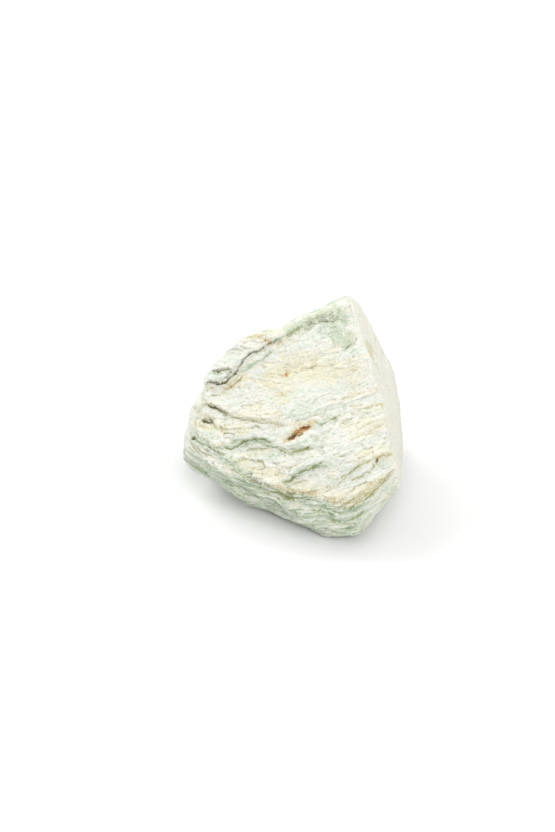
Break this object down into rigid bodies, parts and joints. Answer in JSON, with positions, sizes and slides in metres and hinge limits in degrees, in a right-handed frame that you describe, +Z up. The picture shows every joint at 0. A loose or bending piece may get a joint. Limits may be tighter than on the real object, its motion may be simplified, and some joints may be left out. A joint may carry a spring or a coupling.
{
  "type": "raw fuchsite",
  "caption": "Rough broken chunk of pale green layered mica rock, a sloping scaly face over darker layered sides, resting on a small flat spot.",
  "frame": {"origin": "on the resting surface, under the middle of the stone's box", "axes": "+Z up as the stone rests; the broad pale face slopes down towards -Y; the narrow smooth side faces +X"},
  "size_m": [0.0636, 0.0654, 0.0475],
  "materials": {
    "mica_rock": "rough broken surface, pale green to off-white, with fine satin sparkle and small rust and ochre stains"
  },
  "bodies": {
    "root": {"fuchsite_chunk": "mica_rock"}
  },
  "joints": []
}
